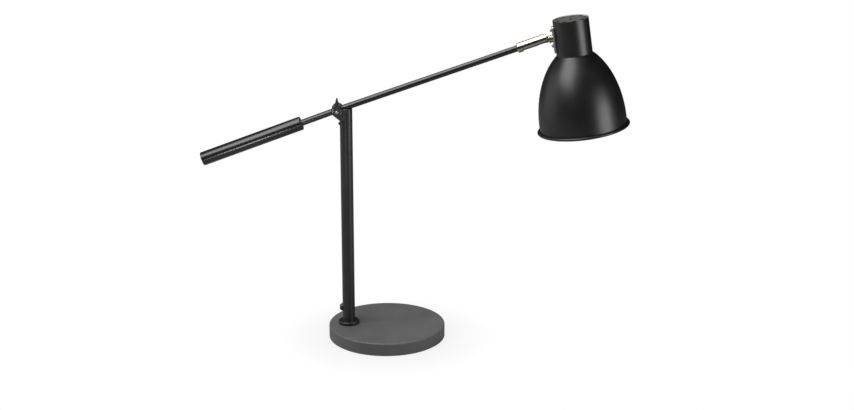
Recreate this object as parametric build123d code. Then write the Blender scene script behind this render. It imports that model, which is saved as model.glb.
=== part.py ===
from build123d import *
from math import acos, cos, degrees, radians, sin, sqrt
import os

# Counterweight balance desk lamp.  Millimetres.  +Z is up, +X points from the post towards
# the lamp's head, and the origin is the centre of the base's underside, on the table.

# ---------------------------------------------------------------- base
BASE_DIAMETER = 150.0
BASE_HEIGHT = 17.0
COVER_WALL = 1.2
COVER_EDGE_RADIUS = 1.5
PAD_THICKNESS = 1.5
PAD_DROP = 1.0
BASE_GAP = 0.3

# ---------------------------------------------------------------- post and its foot
POST_INSET = 25.5
POST_DIAMETER = 16.0
POST_WALL = 1.2
POST_TOP = 288.5
COLLAR_DIAMETER = 27.0
COLLAR_HEIGHT = 4.5
COLLAR_EDGE_RADIUS = 1.3
FOOT_BUSH_HEIGHT = 12.0
NIPPLE_DIAMETER = 10.0
NIPPLE_BORE = 7.0
NIPPLE_END_GAP = 1.5
FOOT_NUT_WIDTH = 14.0
FOOT_NUT_HEIGHT = 5.0
FOOT_WASHER_DIAMETER = 22.0
FOOT_WASHER_THICKNESS = 1.5
POCKET_MARGIN = 2.0

# ---------------------------------------------------------------- cord inlet at the back of the base
INLET_HEIGHT = 8.5
INLET_BORE = 7.0
INLET_WALL = 1.3
INLET_FLANGE = 1.3
INLET_FLANGE_THICKNESS = 2.0
INLET_INSIDE = 3.0
CHANNEL_WIDTH = 12.0
CHANNEL_ROOF = 2.3

# ---------------------------------------------------------------- push switch, low on the post
SWITCH_HEIGHT = 39.0
SWITCH_BODY_WIDTH = 8.0
SWITCH_BODY_DEPTH = 9.0
SWITCH_BODY_HEIGHT = 18.0
BEZEL_DIAMETER = 10.0
BEZEL_REACH = 1.7
BUTTON_DIAMETER = 7.4
BUTTON_REACH = 3.5
BUTTON_LENGTH = 2.9
BUTTON_EDGE_RADIUS = 0.6
SWITCH_LEDGE = 0.2
PLUNGER_DIAMETER = 3.6
PLUNGER_LENGTH = 6.0

# ---------------------------------------------------------------- swivel head on top of the post
HEAD_HEIGHT = 15.5
HEAD_EDGE_RADIUS = 1.5
SWIVEL_WASHER_THICKNESS = 0.5
SPIGOT_LENGTH = 24.0
LEAD_BORE = 6.0
PIVOT_OFFSET = 10.7
PIVOT_RISE = 13.5
LUG_RADIUS = 7.6
LUG_WIDTH = 17.0
LUG_SLOPE = 39.4
LUG_BLEND_RADIUS = 2.0
LUG_CHAMFER = 0.7
SLOT_WIDTH = 9.0
SLOT_CLEARANCE = 0.3
GROOVE_DEPTH = 1.7
GROOVE_CLEARANCE = 0.2
SWIVEL_STOP_ANGLE = 12.0
SWIVEL_SCREW_DROP = 4.6
SWIVEL_SCREW_DIAMETER = 3.0
SWIVEL_SCREW_HEAD = 5.0
SWIVEL_SCREW_HEAD_HEIGHT = 1.9

# ---------------------------------------------------------------- pivot bolt and tension lever
BOLT_DIAMETER = 4.0
BOLT_HEAD_DIAMETER = 8.0
BOLT_HEAD_HEIGHT = 2.6
BOLT_KEY_WIDTH = 2.5
BOLT_KEY_DEPTH = 1.4
BOLT_GRIP = 3.2
LEVER_WASHER_DIAMETER = 11.4
LEVER_WASHER_THICKNESS = 0.8
LEVER_HUB_RADIUS = 5.1
LEVER_REACH = 17.3
LEVER_TIP_RADIUS = 0.7
LEVER_THICKNESS = 6.0
LEVER_CHAMFER = 0.5
LEVER_SCREW_HEAD = 5.2
LEVER_SCREW_HEIGHT = 1.8
LEVER_SCREW_SHANK = 3.0

# ---------------------------------------------------------------- arm and counterweight
ARM_SLOPE = 19.35
ARM_SAG = 1.1
ARM_LIFT = 50.0
ARM_DROP = 2.0
ARM_DIAMETER = 8.0
ARM_WALL = 1.0
ARM_THREAD = 6.0
ARM_THREAD_LENGTH = 4.0
BLOCK_RADIUS = 7.2
BLOCK_WIDTH = 8.0
WEIGHT_DIAMETER = 17.5
WEIGHT_LENGTH = 135.0
WEIGHT_START = 48.4
WEIGHT_BORE_DEPTH = 60.0
WEIGHT_EDGE_RADIUS = 1.0

# ---------------------------------------------------------------- knuckle between the arm and the shade
SLEEVE_START = 236.8
SLEEVE_DIAMETER = 12.5
SLEEVE_LENGTH = 37.4
SLEEVE_RING = 7.5
SHELL_EDGE_HEIGHT = 2.2
BARREL_DIAMETER = 10.4
BARREL_OVERHANG = 2.0
BARREL_EDGE = 0.5
SLEEVE_TAPER = 1.7
SLEEVE_TAPER_LENGTH = 2.4
SLEEVE_EDGE = 0.4
PIN_SETBACK = 6.6
PIN_DIAMETER = 2.5
PIN_RECESS = 0.2
EYE_RADIUS = 3.9
EYE_CLEARANCE = 0.15
TONGUE_THICKNESS = 5.0
STEM_DIAMETER = 7.0
STEM_NECK = 0.9
STEM_FLANGE_DIAMETER = 10.3
STEM_FLANGE_THICKNESS = 1.7
STEM_FLANGE_CHAMFER = 0.4
STEM_THREAD = 6.0
STEM_BORE = 3.0
STEM_NUT_WIDTH = 10.0
STEM_NUT_THICKNESS = 3.0
STEM_NUT_OVERHANG = 0.4
BOSS_DIAMETER = 9.2
BOSS_THICKNESS = 2.9

# ---------------------------------------------------------------- bracket plate on the shade's neck
PLATE_ABOVE_STEM = 15.2
PLATE_FOOT_GAP = 4.5
PLATE_WIDTH = 12.0
PLATE_THICKNESS = 1.7
PLATE_CORNER_RADIUS = 2.0
SADDLE_CROWN = 0.3
SADDLE_WIDTH = 16.0
SADDLE_INSET = 1.1
SCREW_ABOVE_STEM = 10.8
SCREW_BELOW_STEM = 9.2
PLATE_SCREW_DIAMETER = 3.0
PLATE_SCREW_HEAD = 4.2
PLATE_SCREW_HEAD_HEIGHT = 2.6
PLATE_SCREW_END = 1.5

# ---------------------------------------------------------------- shade
SHADE_TILT = 8.2
SHADE_WALL = 1.0
STEM_DEPTH = 22.0
NECK_DIAMETER = 45.0
NECK_LENGTH = 44.5
BOWL_DIAMETER = 110.0
BOWL_DEPTH = 100.5
BOWL_SHIFT = 10.0
CREASE_RADIUS = 2.5
RIM_DROP = 8.0
BEAD_RADIUS = 1.8
BEAD_OFFSET = 1.6
BOWL_ARCS = 4

# ---------------------------------------------------------------- vented cap in the neck's top
CAP_RECESS = 0.6
CAP_THICKNESS = 1.0
CAP_SKIRT = 3.6
CAP_GAP = 0.1
VENT_COUNT = 9
VENT_DIAMETER = 3.8
VENT_RING_RADIUS = 17.4

# ---------------------------------------------------------------- lampholder and bulb
STRAP_THICKNESS = 1.2
STRAP_TOP = 4.5
STRAP_BELOW_SCREW = 9.8
STRAP_PAD_DIAMETER = 16.0
HOLDER_NIPPLE_LENGTH = 9.5
HOLDER_NUT_HEIGHT = 1.8
HOLDER_DIAMETER = 26.4
HOLDER_LENGTH = 41.0
HOLDER_SKIRT_DIAMETER = 24.0
HOLDER_SKIRT_LENGTH = 19.0
HOLDER_LEAD_BORE = 3.5
SOCKET_DIAMETER = 16.4
SOCKET_DEPTH = 22.0
CONTACT_SHELL_WALL = 0.6
CONTACT_SHELL_SETBACK = 1.0
CONTACT_DIAMETER = 5.0
CONTACT_THICKNESS = 1.0
BULB_CAP_DIAMETER = 13.8
BULB_CAP_LENGTH = 19.5
BULB_CAP_CHAMFER = 1.2
BULB_TIP_DIAMETER = 5.0
BULB_TIP_LENGTH = 1.6
BULB_DIAMETER = 45.0
BULB_LENGTH = 56.5
BULB_NECK_DIAMETER = 21.0
BULB_WALL = 1.0

# ---------------------------------------------------------------- leads inside the tubes
POST_LEAD_DIAMETER = 5.0
ARM_LEAD_DIAMETER = 4.0
LEAD_END_GAP = 4.0

# ---------------------------------------------------------------- clearances
RUNNING = 0.05
SPIGOT_CLEARANCE = 0.1
THREAD = 0.05
HOLE_CLEARANCE = 0.2
# How far a cutting shape runs past the face it cuts.
CUT = 1.0

# ---------------------------------------------------------------- places that follow from the sizes
POST_OFFSET = BASE_DIAMETER / 2 - POST_INSET
POST_BORE = POST_DIAMETER - 2 * POST_WALL
HEAD_BOTTOM = POST_TOP + SWIVEL_WASHER_THICKNESS + RUNNING
HEAD_TOP = HEAD_BOTTOM + HEAD_HEIGHT - RUNNING
SWIVEL_SCREW_Z = HEAD_BOTTOM - SWIVEL_SCREW_DROP
PIVOT_X = -POST_OFFSET - PIVOT_OFFSET
PIVOT_Z = POST_TOP + PIVOT_RISE
PIN_REACH = SLEEVE_START + SLEEVE_LENGTH - PIN_SETBACK
RING_END = SLEEVE_START + SLEEVE_RING
BARREL_END = SLEEVE_START + SLEEVE_LENGTH + BARREL_OVERHANG
POCKET_TOP = PAD_THICKNESS + NIPPLE_END_GAP + FOOT_NUT_HEIGHT + FOOT_WASHER_THICKNESS
NIPPLE_BOTTOM = PAD_THICKNESS + NIPPLE_END_GAP / 2
INLET_BODY = INLET_BORE + 2 * INLET_WALL

# Out from the post's axis, towards -X.
SWITCH_NECK = BUTTON_DIAMETER + 2 * SPIGOT_CLEARANCE + 2 * SWITCH_LEDGE
BUTTON_FACE = POST_DIAMETER / 2 + BUTTON_REACH
BUTTON_BACK = BUTTON_FACE - BUTTON_LENGTH

# Out from the lamp's middle plane, towards -Y.
LEVER_BACK = -LUG_WIDTH / 2 - LEVER_WASHER_THICKNESS - RUNNING
LEVER_FRONT = LEVER_BACK - LEVER_THICKNESS
BOLT_END = -LUG_WIDTH / 2 - LEVER_WASHER_THICKNESS - BOLT_GRIP
LEVER_SCREW_END = BOLT_END - HOLE_CLEARANCE

# Along the stem, measured from the knuckle's pin towards the shade.  The flat tongue is long
# enough that the round neck after it swings clear of the barrel's end.
BARREL_CORNER = sqrt((BARREL_END - PIN_REACH) ** 2 + (BARREL_DIAMETER / 2) ** 2)
TONGUE_LENGTH = BARREL_CORNER + EYE_CLEARANCE
FLANGE_START = TONGUE_LENGTH + STEM_NECK
BOSS_START = FLANGE_START + STEM_FLANGE_THICKNESS + RUNNING
PLATE_START = BOSS_START + BOSS_THICKNESS
NECK_START = PLATE_START + PLATE_THICKNESS + SADDLE_CROWN
SHADE_REACH = NECK_START + NECK_DIAMETER / 2
NECK_INNER_RADIUS = NECK_DIAMETER / 2 - SHADE_WALL
STRAP_FACE = sqrt(NECK_INNER_RADIUS ** 2 - (PLATE_WIDTH / 2) ** 2) - RUNNING
STRAP_INNER = STRAP_FACE - STRAP_THICKNESS
STEM_NUT_START = SHADE_REACH - STRAP_INNER + RUNNING
HOLDER_TOP = STRAP_TOP + STRAP_THICKNESS
HOLDER_BOTTOM = HOLDER_TOP + HOLDER_LENGTH
SOCKET_TOP = HOLDER_BOTTOM - SOCKET_DEPTH
BULB_CAP_TOP = HOLDER_BOTTOM - BULB_CAP_LENGTH
BULB_BOTTOM = HOLDER_BOTTOM + BULB_LENGTH

# Down from the shade's top, along its axis.
NECK_SHARE = (NECK_DIAMETER / 2 + BOWL_SHIFT) / (BOWL_DIAMETER / 2 + BOWL_SHIFT)
BELLY_DEPTH = NECK_LENGTH + BOWL_DEPTH * sqrt(1 - NECK_SHARE ** 2)
PLATE_TOP = STEM_DEPTH - PLATE_ABOVE_STEM
PLATE_LENGTH = NECK_LENGTH - PLATE_FOOT_GAP - PLATE_TOP
PLATE_SHIFT = PLATE_LENGTH / 2 - PLATE_ABOVE_STEM
SADDLE_LENGTH = PLATE_LENGTH - 2 * SADDLE_INSET
STRAP_BOTTOM = STEM_DEPTH + SCREW_BELOW_STEM + STRAP_BELOW_SCREW


# ---------------------------------------------------------------- frames of the sloping pieces
def sloped_frame(origin, slope):
    """A frame turned up by slope degrees about Y: its X runs along the piece."""
    angle = radians(slope)
    along = (cos(angle), 0, sin(angle))
    across = (-sin(angle), 0, cos(angle))
    return Plane(origin=origin, x_dir=along, z_dir=across).location


PIVOT = (PIVOT_X, 0, PIVOT_Z)
FRONT_ARM = sloped_frame(PIVOT, ARM_SLOPE)
REAR_ARM = sloped_frame(PIVOT, ARM_SLOPE + ARM_SAG)
KNUCKLE_PIN = (
    PIVOT_X + PIN_REACH * cos(radians(ARM_SLOPE)),
    0,
    PIVOT_Z + PIN_REACH * sin(radians(ARM_SLOPE)),
)
STEM = sloped_frame(KNUCKLE_PIN, SHADE_TILT)
SHADE = STEM * Pos(SHADE_REACH, 0, STEM_DEPTH)
POST = Pos(-POST_OFFSET, 0, 0)
PIVOT_AXIS = Pos(*PIVOT)
INLET_AXIS = Pos(0, 0, INLET_HEIGHT)
SWITCH_AXIS = POST * Pos(0, 0, SWITCH_HEIGHT)


# ---------------------------------------------------------------- plain turned shapes
def rod_z(diameter, low, high):
    return Pos(0, 0, (low + high) / 2) * Cylinder(diameter / 2, high - low)


def rod_x(diameter, low, high):
    return Pos((low + high) / 2, 0, 0) * Rot(0, 90, 0) * Cylinder(diameter / 2, high - low)


def rod_y(diameter, low, high):
    return Pos(0, (low + high) / 2, 0) * Rot(90, 0, 0) * Cylinder(diameter / 2, high - low)


def ring_z(outer, inner, low, high):
    return rod_z(outer, low, high) - rod_z(inner, low - CUT, high + CUT)


def ring_x(outer, inner, low, high):
    return rod_x(outer, low, high) - rod_x(inner, low - CUT, high + CUT)


def ring_y(outer, inner, low, high):
    return rod_y(outer, low, high) - rod_y(inner, low - CUT, high + CUT)


def box_between(x0, x1, y0, y1, z0, z1):
    middle = Pos((x0 + x1) / 2, (y0 + y1) / 2, (z0 + z1) / 2)
    return middle * Box(x1 - x0, y1 - y0, z1 - z0)


def hex_z(width, low, high):
    outline = RegularPolygon(width / 2, 6, major_radius=False)
    return Pos(0, 0, low) * extrude(outline, high - low)


def dome_z(diameter, height):
    """A round screw head: flat on z = 0, crowned above it."""
    crown_radius = (diameter ** 2 / 4 + height ** 2) / (2 * height)
    ball = Pos(0, 0, height - crown_radius) * Sphere(crown_radius)
    return ball & rod_z(diameter, 0, height + CUT)


# ---------------------------------------------------------------- base
def base_cover():
    outer = rod_z(BASE_DIAMETER, PAD_DROP, BASE_HEIGHT)
    outer = fillet(outer.edges().group_by(Axis.Z)[-1], COVER_EDGE_RADIUS)
    inner = rod_z(BASE_DIAMETER - 2 * COVER_WALL, 0, BASE_HEIGHT - COVER_WALL)
    stud_hole = POST * rod_z(NIPPLE_DIAMETER + 2 * HOLE_CLEARANCE, 0, BASE_HEIGHT + CUT)
    inlet_hole = INLET_AXIS * rod_y(INLET_BODY + 2 * THREAD, 0, BASE_DIAMETER)
    return outer - inner - stud_hole - inlet_hole


def base_weight():
    """Cast disc with a pocket for the foot nut and a channel for the cord."""
    radius = BASE_DIAMETER / 2 - COVER_WALL - BASE_GAP
    roof = BASE_HEIGHT - COVER_WALL
    pocket_diameter = FOOT_WASHER_DIAMETER + POCKET_MARGIN
    disc = rod_z(2 * radius, PAD_THICKNESS, roof)
    hole = POST * rod_z(NIPPLE_DIAMETER + 2 * HOLE_CLEARANCE, 0, BASE_HEIGHT)
    pocket = POST * rod_z(pocket_diameter, 0, POCKET_TOP)
    half = CHANNEL_WIDTH / 2
    channel_top = roof - CHANNEL_ROOF
    to_post = box_between(-POST_OFFSET, half, -half, half, 0, min(POCKET_TOP, channel_top))
    to_inlet = box_between(-half, half, -half, BASE_DIAMETER, 0, channel_top)
    return disc - hole - pocket - to_post - to_inlet


def base_pad():
    radius = BASE_DIAMETER / 2 - COVER_WALL - BASE_GAP
    return rod_z(2 * radius, 0, PAD_THICKNESS)


def inlet_bush():
    """Rubber grommet that the mains cord comes in through."""
    back = BASE_DIAMETER / 2
    body = rod_y(INLET_BODY, back - COVER_WALL - INLET_INSIDE, back)
    flange = rod_y(INLET_BODY + 2 * INLET_FLANGE, back, back + INLET_FLANGE_THICKNESS)
    flange = fillet(flange.edges().group_by(Axis.Y)[-1], INLET_FLANGE / 2)
    bore = rod_y(INLET_BORE, 0, BASE_DIAMETER)
    return INLET_AXIS * (body + flange - bore)


# ---------------------------------------------------------------- post
def post_tube():
    tube = ring_z(POST_DIAMETER, POST_BORE, BASE_HEIGHT, POST_TOP)
    switch_hole = Pos(0, 0, SWITCH_HEIGHT) * rod_x(SWITCH_NECK + 2 * THREAD, -POST_DIAMETER, 0)
    screw_hole = Pos(0, 0, SWIVEL_SCREW_Z) * rod_x(SWIVEL_SCREW_DIAMETER, -POST_DIAMETER, 0)
    return POST * (tube - switch_hole - screw_hole)


def post_collar():
    bore = POST_DIAMETER + 2 * THREAD
    collar = ring_z(COLLAR_DIAMETER, bore, BASE_HEIGHT, BASE_HEIGHT + COLLAR_HEIGHT)
    outer_edges = collar.edges().group_by(Axis.Z)[-1].sort_by(SortBy.RADIUS)
    return POST * fillet(outer_edges[-1], COLLAR_EDGE_RADIUS)


def foot_bush():
    """Threaded plug in the tube's lower end."""
    bore = NIPPLE_DIAMETER + 2 * THREAD
    return POST * ring_z(POST_BORE, bore, BASE_HEIGHT, BASE_HEIGHT + FOOT_BUSH_HEIGHT)


def foot_nipple():
    top = BASE_HEIGHT + FOOT_BUSH_HEIGHT
    return POST * ring_z(NIPPLE_DIAMETER, NIPPLE_BORE, NIPPLE_BOTTOM, top)


def foot_washer():
    bore = NIPPLE_DIAMETER + 2 * HOLE_CLEARANCE
    bottom = POCKET_TOP - FOOT_WASHER_THICKNESS
    return POST * ring_z(FOOT_WASHER_DIAMETER, bore, bottom, POCKET_TOP)


def foot_nut():
    top = POCKET_TOP - FOOT_WASHER_THICKNESS
    bottom = top - FOOT_NUT_HEIGHT
    thread = rod_z(NIPPLE_DIAMETER + 2 * THREAD, 0, BASE_HEIGHT)
    return POST * (hex_z(FOOT_NUT_WIDTH, bottom, top) - thread)


def post_lead():
    """Twin lead up the post, from the switch to the swivel head."""
    low = SWITCH_HEIGHT + SWITCH_BODY_HEIGHT / 2
    high = HEAD_BOTTOM - SPIGOT_LENGTH - LEAD_END_GAP
    return POST * rod_z(POST_LEAD_DIAMETER, low, high)


# ---------------------------------------------------------------- switch
def switch_housing():
    block = Box(SWITCH_BODY_DEPTH, SWITCH_BODY_WIDTH, SWITCH_BODY_HEIGHT)
    neck_end = sqrt((POST_BORE / 2) ** 2 - (SWITCH_NECK / 2) ** 2)
    neck = rod_x(SWITCH_NECK, -neck_end, 0)
    plunger_bore = rod_x(PLUNGER_DIAMETER + 2 * SPIGOT_CLEARANCE, -POST_DIAMETER, 0)
    return SWITCH_AXIS * (block + neck - plunger_bore)


def switch_bezel():
    """Ring round the button, cut to sit on the post's curve."""
    bore = BUTTON_DIAMETER + 2 * SPIGOT_CLEARANCE
    face = -POST_DIAMETER / 2 - BEZEL_REACH
    ring = ring_x(BEZEL_DIAMETER, bore, face, 0)
    tube = rod_z(POST_DIAMETER, -BEZEL_DIAMETER, BEZEL_DIAMETER)
    ring = ring - tube
    outer_edge = ring.edges().group_by(Axis.X)[0].sort_by(SortBy.RADIUS)[-1]
    rim_width = (BEZEL_DIAMETER - bore) / 2
    return SWITCH_AXIS * fillet(outer_edge, rim_width / 2)


def switch_button():
    button = rod_x(BUTTON_DIAMETER, -BUTTON_FACE, -BUTTON_BACK)
    button = fillet(button.edges().group_by(Axis.X)[0], BUTTON_EDGE_RADIUS)
    plunger = rod_x(PLUNGER_DIAMETER, -BUTTON_BACK, -BUTTON_BACK + PLUNGER_LENGTH)
    return SWITCH_AXIS * (button + plunger)


# ---------------------------------------------------------------- swivel head
def swivel_washer():
    top = POST_TOP + SWIVEL_WASHER_THICKNESS
    return POST * ring_z(POST_DIAMETER - 2 * RUNNING, POST_BORE, POST_TOP, top)


def swivel_screw():
    """Its tip runs in the spigot's groove: it holds the head down and stops its turn."""
    tip = POST_BORE / 2 - GROOVE_DEPTH + GROOVE_CLEARANCE
    shank = rod_x(SWIVEL_SCREW_DIAMETER, -POST_DIAMETER / 2, -tip)
    head = Pos(-POST_DIAMETER / 2, 0, 0) * Rot(0, -90, 0)
    head = head * dome_z(SWIVEL_SCREW_HEAD, SWIVEL_SCREW_HEAD_HEIGHT)
    return POST * Pos(0, 0, SWIVEL_SCREW_Z) * (head + shank)


def lug_outline():
    """Side view of the lug that carries the pivot, blended into the head's flat top."""
    down = radians(LUG_SLOPE)
    touch_x = PIVOT_X - LUG_RADIUS * sin(down)
    touch_z = PIVOT_Z - LUG_RADIUS * cos(down)
    foot_x = touch_x + (touch_z - HEAD_BOTTOM) * cos(down) / sin(down)
    web = Polygon(
        (touch_x, touch_z),
        (foot_x, HEAD_BOTTOM),
        (-POST_OFFSET, HEAD_BOTTOM),
        (-POST_OFFSET, HEAD_TOP),
        (PIVOT_X, HEAD_TOP),
        (PIVOT_X, PIVOT_Z),
        align=None,
    )
    outline = web + Pos(PIVOT_X, PIVOT_Z) * Circle(LUG_RADIUS)
    rise = HEAD_TOP - PIVOT_Z
    corner = Vector(PIVOT_X + sqrt(LUG_RADIUS ** 2 - rise ** 2), HEAD_TOP, 0)
    corners = outline.vertices().sort_by(lambda v: (v.center() - corner).length)
    return fillet(corners[0], LUG_BLEND_RADIUS)


def slot_outline():
    """Side view, from the pivot, of the room the arm needs between its lowest and steepest slopes."""
    half = ARM_DIAMETER / 2 + SLOT_CLEARANCE
    far = 4 * LUG_RADIUS
    low = radians(ARM_SLOPE - ARM_DROP)
    steep = radians(ARM_SLOPE + ARM_SAG + ARM_LIFT)
    middle = (low + steep) / 2
    corner = half / cos(steep - middle)
    sweep = Polygon(
        (corner * sin(middle), -corner * cos(middle)),
        (half * sin(low) + far * cos(low), -half * cos(low) + far * sin(low)),
        (far, far),
        (-far, far),
        (-far, -far),
        (half * sin(steep) - far * cos(steep), -half * cos(steep) - far * sin(steep)),
        align=None,
    )
    return sweep + Circle(BLOCK_RADIUS + SLOT_CLEARANCE)


def swivel_head():
    """Fork with a lug on its left, a slot for the arm and a spigot down the post."""
    body = POST * rod_z(POST_DIAMETER, HEAD_BOTTOM, HEAD_TOP)
    body = fillet(body.edges().group_by(Axis.Z)[-1], HEAD_EDGE_RADIUS)
    side_view = Plane(origin=(0, LUG_WIDTH / 2, 0), x_dir=(1, 0, 0), z_dir=(0, -1, 0))
    lug = extrude(side_view * lug_outline(), LUG_WIDTH)
    sides = lug.faces().sort_by(Axis.Y)
    lug = chamfer(sides[0].edges() + sides[-1].edges(), LUG_CHAMFER)
    spigot = rod_z(POST_BORE - 2 * SPIGOT_CLEARANCE, HEAD_BOTTOM - SPIGOT_LENGTH, HEAD_BOTTOM)
    head = body + lug + POST * (spigot - swivel_groove())
    slot_view = Plane(origin=(PIVOT_X, SLOT_WIDTH / 2, PIVOT_Z), x_dir=(1, 0, 0), z_dir=(0, -1, 0))
    slot = extrude(slot_view * slot_outline(), SLOT_WIDTH)
    lead_bore = POST * rod_z(LEAD_BORE, HEAD_BOTTOM - SPIGOT_LENGTH - CUT, HEAD_TOP + CUT)
    bolt_bore = PIVOT_AXIS * rod_y(BOLT_DIAMETER + 2 * THREAD, -LUG_WIDTH, LUG_WIDTH)
    return head - slot - lead_bore - bolt_bore


def swivel_groove():
    """Groove round the spigot, all but a narrow stop opposite the screw."""
    half = SWIVEL_SCREW_DIAMETER / 2 + GROOVE_CLEARANCE
    low = SWIVEL_SCREW_Z - half
    high = SWIVEL_SCREW_Z + half
    groove = ring_z(POST_DIAMETER, POST_BORE - 2 * GROOVE_DEPTH, low, high)
    half_stop = radians(SWIVEL_STOP_ANGLE / 2)
    reach = POST_DIAMETER
    stop_outline = Polygon(
        (0, 0),
        (reach * cos(half_stop), -reach * sin(half_stop)),
        (reach * cos(half_stop), reach * sin(half_stop)),
        align=None,
    )
    stop = Pos(0, 0, low - CUT) * extrude(stop_outline, high - low + 2 * CUT)
    return groove - stop


# ---------------------------------------------------------------- pivot
def pivot_bolt():
    shank = rod_y(BOLT_DIAMETER, BOLT_END, LUG_WIDTH / 2)
    head = Rot(-90, 0, 0) * dome_z(BOLT_HEAD_DIAMETER, BOLT_HEAD_HEIGHT)
    key_bottom = BOLT_HEAD_HEIGHT - BOLT_KEY_DEPTH
    key = Rot(-90, 0, 0) * hex_z(BOLT_KEY_WIDTH, key_bottom, BOLT_HEAD_HEIGHT + CUT)
    head = Pos(0, LUG_WIDTH / 2, 0) * (head - key)
    return PIVOT_AXIS * (shank + head)


def pivot_washers():
    """Friction discs, one each side of the pivot block."""
    outer = 2 * (BLOCK_RADIUS - LUG_CHAMFER)
    bore = BOLT_DIAMETER + 2 * HOLE_CLEARANCE
    inside = BLOCK_WIDTH / 2 + RUNNING
    right = ring_y(outer, bore, inside, SLOT_WIDTH / 2)
    left = ring_y(outer, bore, -SLOT_WIDTH / 2, -inside)
    return [PIVOT_AXIS * left, PIVOT_AXIS * right]


def lever_washer():
    bore = BOLT_DIAMETER + 2 * HOLE_CLEARANCE
    face = -LUG_WIDTH / 2
    return PIVOT_AXIS * ring_y(LEVER_WASHER_DIAMETER, bore, face - LEVER_WASHER_THICKNESS, face)


def tension_lever():
    """Drop-shaped lever, its point straight up, that clamps the pivot."""
    lean = acos((LEVER_HUB_RADIUS - LEVER_TIP_RADIUS) / LEVER_REACH)
    side = sin(lean)
    rise = cos(lean)
    drop = Polygon(
        (-LEVER_HUB_RADIUS * side, LEVER_HUB_RADIUS * rise),
        (LEVER_HUB_RADIUS * side, LEVER_HUB_RADIUS * rise),
        (LEVER_TIP_RADIUS * side, LEVER_REACH + LEVER_TIP_RADIUS * rise),
        (-LEVER_TIP_RADIUS * side, LEVER_REACH + LEVER_TIP_RADIUS * rise),
        align=None,
    )
    drop = drop + Circle(LEVER_HUB_RADIUS) + Pos(0, LEVER_REACH) * Circle(LEVER_TIP_RADIUS)
    front_view = Plane(origin=(0, LEVER_BACK, 0), x_dir=(1, 0, 0), z_dir=(0, -1, 0))
    lever = extrude(front_view * drop, LEVER_THICKNESS)
    front_edges = lever.faces().sort_by(Axis.Y)[0].edges()
    lever = chamfer(front_edges, LEVER_CHAMFER)
    bolt_bore = rod_y(BOLT_DIAMETER + 2 * RUNNING, LEVER_SCREW_END, LEVER_BACK + CUT)
    screw_bore = rod_y(LEVER_SCREW_SHANK + 2 * THREAD, LEVER_FRONT - CUT, LEVER_SCREW_END)
    return PIVOT_AXIS * (lever - bolt_bore - screw_bore)


def lever_screw():
    head = Pos(0, LEVER_FRONT, 0) * Rot(90, 0, 0) * dome_z(LEVER_SCREW_HEAD, LEVER_SCREW_HEIGHT)
    shank = rod_y(LEVER_SCREW_SHANK, LEVER_FRONT, LEVER_SCREW_END)
    return PIVOT_AXIS * (head + shank)


def pivot_block():
    """Short barrel across the fork: the two arm tubes screw into it."""
    block = PIVOT_AXIS * rod_y(2 * BLOCK_RADIUS, -BLOCK_WIDTH / 2, BLOCK_WIDTH / 2)
    thread = ARM_THREAD + 2 * THREAD
    bolt_bore = PIVOT_AXIS * rod_y(BOLT_DIAMETER + 2 * RUNNING, -BLOCK_WIDTH, BLOCK_WIDTH)
    depth = BLOCK_RADIUS - ARM_THREAD_LENGTH
    front_bore = FRONT_ARM * rod_x(thread, depth, 2 * BLOCK_RADIUS)
    rear_bore = REAR_ARM * rod_x(thread, -2 * BLOCK_RADIUS, -depth)
    return block - bolt_bore - front_bore - rear_bore


# ---------------------------------------------------------------- arm
def arm_tube(inner_end, outer_end):
    """Along +X from the block: a tube with a threaded end turned down to go into the block."""
    tube = ring_x(ARM_DIAMETER, ARM_DIAMETER - 2 * ARM_WALL, inner_end, outer_end)
    plug = rod_x(ARM_DIAMETER, inner_end, inner_end + ARM_DIAMETER)
    shank = rod_x(ARM_THREAD, BLOCK_RADIUS - ARM_THREAD_LENGTH, inner_end + CUT)
    body = tube + plug
    body = body - rod_y(2 * BLOCK_RADIUS + 2 * THREAD, -ARM_DIAMETER, ARM_DIAMETER)
    return body + shank


def arm_tube_front():
    return FRONT_ARM * arm_tube(BLOCK_RADIUS - CUT, RING_END)


def arm_tube_rear():
    tube = arm_tube(BLOCK_RADIUS - CUT, WEIGHT_START + WEIGHT_BORE_DEPTH)
    return REAR_ARM * Rot(0, 180, 0) * tube


def arm_lead():
    """Twin lead through the front tube."""
    low = BLOCK_RADIUS + ARM_DIAMETER + LEAD_END_GAP
    return FRONT_ARM * rod_x(ARM_LEAD_DIAMETER, low, RING_END)


def counterweight():
    bar = rod_x(WEIGHT_DIAMETER, -WEIGHT_START - WEIGHT_LENGTH, -WEIGHT_START)
    ends = bar.edges().filter_by(GeomType.CIRCLE)
    bar = fillet(ends, WEIGHT_EDGE_RADIUS)
    bore = rod_x(ARM_DIAMETER + 2 * THREAD, -WEIGHT_START - WEIGHT_BORE_DEPTH, 0)
    return REAR_ARM * (bar - bore)


# ---------------------------------------------------------------- knuckle
def knuckle_sleeve():
    """Plated ring round the arm's end, with half a tube on it that covers the barrel."""
    end = SLEEVE_START + SLEEVE_LENGTH
    sleeve = rod_x(SLEEVE_DIAMETER, SLEEVE_START, end)
    sleeve = chamfer(sleeve.edges().group_by(Axis.X)[0], SLEEVE_TAPER, SLEEVE_TAPER_LENGTH)
    sleeve = chamfer(sleeve.edges().group_by(Axis.X)[-1], SLEEVE_EDGE)
    arm_bore = rod_x(ARM_DIAMETER + 2 * THREAD, SLEEVE_START - CUT, RING_END)
    barrel_bore = rod_x(BARREL_DIAMETER, RING_END, end + CUT)
    radius = SLEEVE_DIAMETER
    open_side = box_between(RING_END, end + CUT, -radius, radius, -radius, SHELL_EDGE_HEIGHT)
    return FRONT_ARM * (sleeve - arm_bore - barrel_bore - open_side)


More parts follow.
